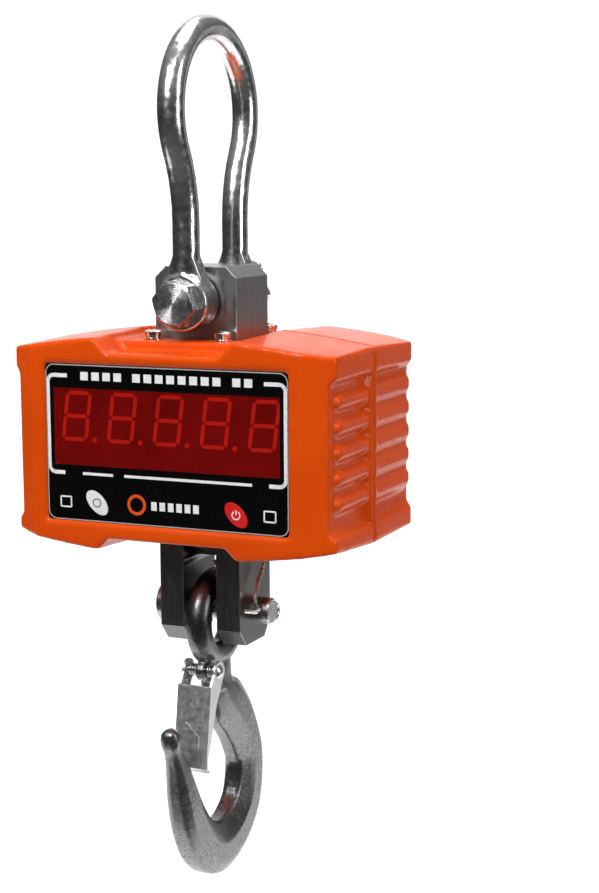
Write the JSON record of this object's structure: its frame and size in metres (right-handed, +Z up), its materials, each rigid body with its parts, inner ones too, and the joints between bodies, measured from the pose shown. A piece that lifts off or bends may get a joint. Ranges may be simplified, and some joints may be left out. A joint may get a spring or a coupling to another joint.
{
  "type": "crane scale",
  "caption": "Hanging electronic scale: shackle, load-cell bar, orange housing with lit display and keys, and a swinging hook with a sprung latch.",
  "frame": {"origin": "the crane-hook seat, at the inner top of the shackle bow", "axes": "+Z up along the load line, +X across the housing to the right as seen from the front, +Y from the front panel to the rear"},
  "size_m": [0.208, 0.1421, 0.5189],
  "materials": {
    "polished_steel": "polished forged steel",
    "zinc_steel": "bright zinc plate",
    "machined_steel": "satin machined",
    "forged_zinc": "zinc plate over a forged skin",
    "zinc_sheet": "zinc-plated sheet",
    "bright_screw": "bright nickel",
    "orange_paint": "gloss orange powder coat",
    "black_rubber": "matt",
    "panel_black": "gloss black film",
    "red_window": "clear dark red acrylic",
    "white_key": "white",
    "red_key": "red",
    "black_plastic": "moulded",
    "led_block": "matt face with red segments",
    "led_lens": "clear red",
    "circuit_board": "solder mask",
    "brass": "turned",
    "battery_case": "moulded",
    "red_lead": "insulated lead"
  },
  "bodies": {
    "shackle": {"shackle_bow": "polished_steel", "shackle_bolt": "polished_steel", "shackle_nut": "zinc_steel", "shackle_split_pin": "zinc_steel"},
    "scale_body": {"load_cell": "machined_steel", "gauge_covers": "machined_steel", "load_cell_cable": "black_rubber", "front_bracket": "zinc_steel", "rear_bracket": "zinc_steel", "bracket_screws": "zinc_steel", "clevis_pin": "polished_steel", "clevis_split_pin": "zinc_steel", "front_shell": "orange_paint", "rear_shell": "orange_paint", "housing_gasket": "black_rubber", "shell_screws": "zinc_steel", "battery_door": "orange_paint", "battery_door_gasket": "black_rubber", "battery_door_screws": "zinc_steel", "top_screws": "bright_screw", "top_spring_washers": "bright_screw", "top_flat_washers": "bright_screw", "front_panel": "panel_black", "display_window": "red_window", "key_switches": "black_plastic", "led_digits": "led_block", "status_leds": "led_lens", "remote_receiver": "black_plastic", "display_board": "circuit_board", "board_components": "black_plastic", "board_standoffs": "brass", "board_screws": "zinc_steel", "battery": "battery_case", "battery_cradle": "zinc_steel", "cradle_screws": "zinc_steel", "battery_leads": "red_lead", "charger_socket": "black_plastic", "charger_socket_nut": "zinc_steel"},
    "zero_key": {"zero_key": "white_key"},
    "power_key": {"power_key": "red_key"},
    "hook": {"hook": "forged_zinc", "latch_rivet": "zinc_steel", "latch_spring": "zinc_steel"},
    "latch": {"latch": "zinc_sheet"}
  },
  "joints": [
    {"name": "bar_swing", "type": "hinge", "parent": "shackle", "child": "scale_body", "pos_m": [0, 0, -0.1492], "axis": [0, 1, 0], "range_deg": [-90, 90]},
    {"name": "hook_swing", "type": "hinge", "parent": "scale_body", "child": "hook", "pos_m": [0, 0, -0.3355], "axis": [1, 0, 0], "range_deg": [-75, 75]},
    {"name": "latch_swing", "type": "hinge", "parent": "hook", "child": "latch", "pos_m": [0, -0.018, -0.3716], "axis": [1, 0, 0], "range_deg": [0, 38], "stiffness_Nm_per_rad": 0.06, "springref_deg": -28.65},
    {"name": "zero_key_press", "type": "slide", "parent": "scale_body", "child": "zero_key", "axis": [0, 1, 0], "range_m": [0, 0.0005], "stiffness_N_per_m": 400, "springref_m": -0.0005},
    {"name": "power_key_press", "type": "slide", "parent": "scale_body", "child": "power_key", "axis": [0, 1, 0], "range_m": [0, 0.0005], "stiffness_N_per_m": 400, "springref_m": -0.0005}
  ]
}
